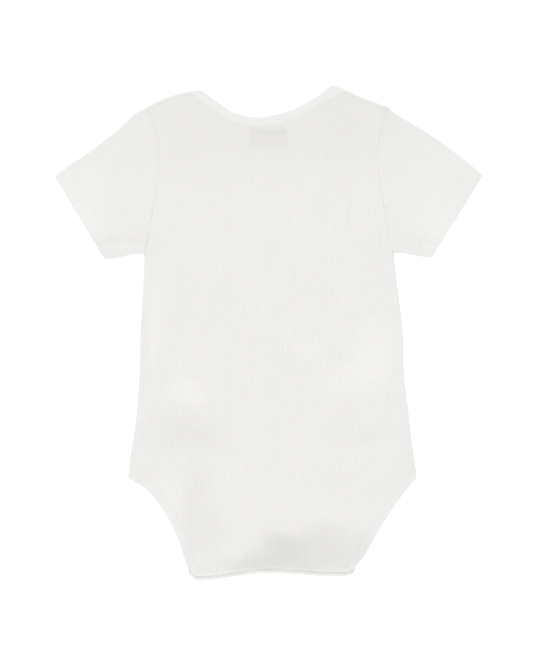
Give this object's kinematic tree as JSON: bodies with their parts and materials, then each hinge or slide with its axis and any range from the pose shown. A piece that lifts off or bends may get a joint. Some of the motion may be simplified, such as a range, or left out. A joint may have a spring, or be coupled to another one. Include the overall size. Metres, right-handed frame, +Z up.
{
  "type": "baby bodysuit",
  "caption": "Baby's short-sleeved bodysuit in fine rib knit, laid flat with its back upwards, bound at neck and legs and snapped shut at the crotch.",
  "frame": {"origin": "on the table under the middle of the garment's bounding box", "axes": "+Y from the crotch to the neck, +Z up from the table, -X towards the wearer's left, because the back is upwards"},
  "size_m": [0.3492, 0.404, 0.0079],
  "materials": {
    "knit": "off-white cotton in fine rib knit, matt",
    "binding": "the same knit folded double, matt",
    "label": "woven tape, smooth",
    "snap": "off-white enamel"
  },
  "bodies": {
    "root": {"back_panel": "knit", "front_panel": "knit", "sleeve_left": "knit", "sleeve_right": "knit", "neck_binding_back": "binding", "neck_binding_front": "binding", "leg_binding_left_back": "binding", "leg_binding_left_front": "binding", "leg_binding_right_back": "binding", "leg_binding_right_front": "binding", "neck_label": "label", "snap_cap_1": "snap", "snap_stud_1": "snap", "snap_cap_2": "snap", "snap_stud_2": "snap", "snap_cap_3": "snap", "snap_stud_3": "snap"}
  },
  "joints": []
}
